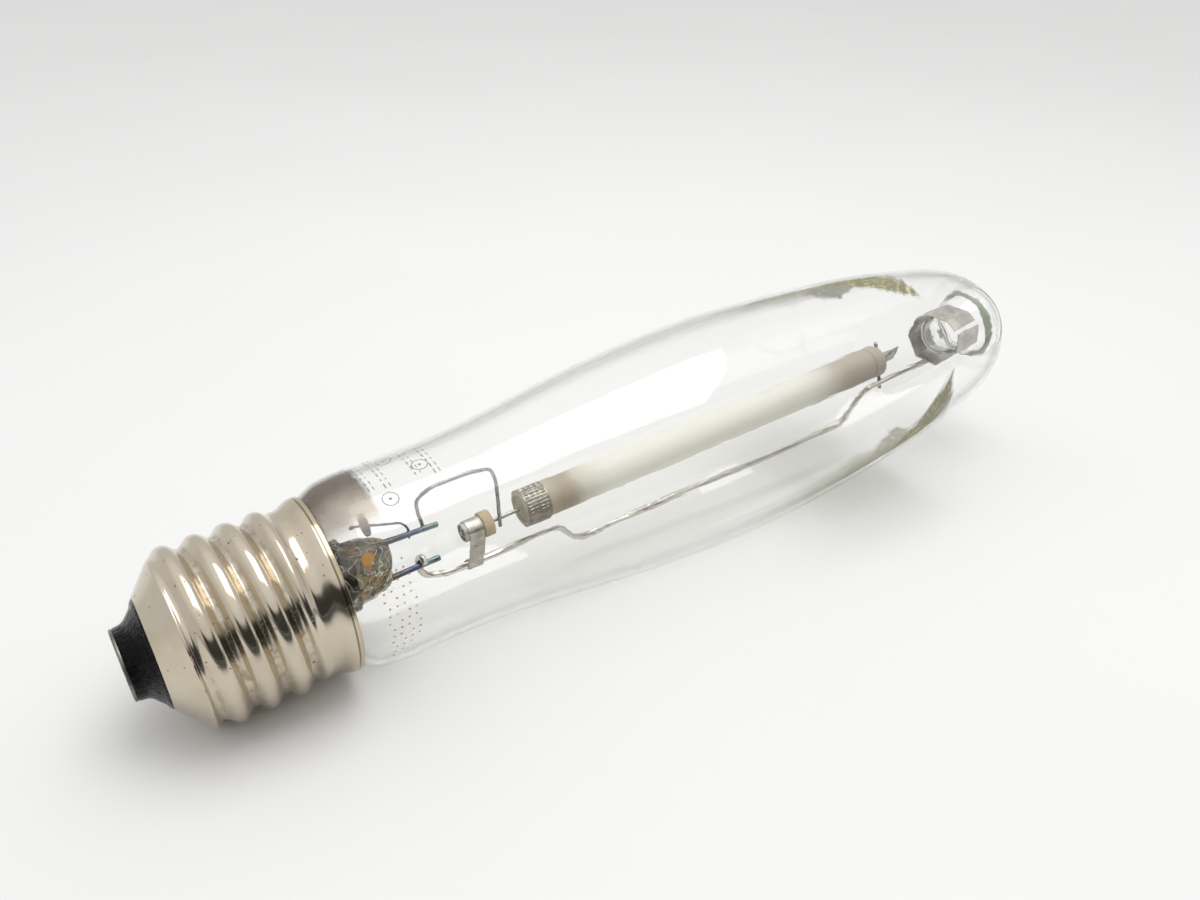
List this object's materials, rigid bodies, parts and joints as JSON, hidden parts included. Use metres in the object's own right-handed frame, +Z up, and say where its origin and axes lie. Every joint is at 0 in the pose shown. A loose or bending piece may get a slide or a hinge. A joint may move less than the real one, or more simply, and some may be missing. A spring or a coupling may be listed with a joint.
{
  "type": "high-pressure sodium grow lamp",
  "caption": "Clear oval glass discharge lamp on a mogul screw base, with a ceramic arc tube held on a wire frame inside for greenhouse lighting.",
  "frame": {"origin": "centre of the outer face of the contact plate at the bottom of the screw base", "axes": "+X along the lamp's axis from the contact plate to the glass dome, +Z up with the lamp lying on its side, +Y to the left of someone looking along +X"},
  "size_m": [0.2435, 0.057, 0.057],
  "materials": {
    "nickel_contact": "nickel-plated brass disc, dull and slightly scratched",
    "solder": "bright tin solder",
    "black_glass": "glossy black fused glass",
    "nickel_brass": "polished nickel-plated brass, warm, lightly pitted",
    "cement": "matt grey-tan capping cement",
    "copper_wire": "tinned copper wire",
    "clear_glass": "clear hard glass, faint green in the edges",
    "stem_glass": "clear hard glass, amber where it is sealed to the leads",
    "blued_lead": "lead blued by the sealing flame",
    "dark_wire": "dark oxidised nickel",
    "grey_wire": "drawn wire, grey",
    "steel_rod": "bright stainless rod",
    "steel_strip": "annealed stainless strip, warm grey",
    "tan_ceramic": "matt tan steatite",
    "niobium": "grey niobium",
    "tungsten": "dark tungsten",
    "alumina": "translucent sintered alumina, cream, grey-brown at its ends",
    "foil": "embossed niobium foil, greenish grey"
  },
  "bodies": {
    "root": {"contact_plate": "nickel_contact", "contact_solder": "solder", "insulator": "black_glass", "screw_shell": "nickel_brass", "shell_solder": "solder", "base_cement": "cement", "centre_wire": "copper_wire", "side_wire": "copper_wire", "outer_bulb": "clear_glass", "stem": "stem_glass", "exhaust_tube": "stem_glass", "upper_lead": "blued_lead", "lower_lead": "blued_lead", "getter_wire": "dark_wire", "getter_ring": "dark_wire", "conductor_loop": "grey_wire", "frame_rod": "steel_rod", "bush_strap": "steel_strip", "bush_ferrule": "steel_strip", "ceramic_bush": "tan_ceramic", "niobium_lead": "niobium", "base_end_plug": "alumina", "base_electrode": "tungsten", "base_coil": "tungsten", "arc_tube": "alumina", "heat_band": "foil", "dome_electrode": "tungsten", "dome_coil": "tungsten", "dome_end_plug": "alumina", "niobium_tube": "niobium", "cross_wire": "grey_wire", "dimple_clip": "steel_strip"}
  },
  "joints": []
}
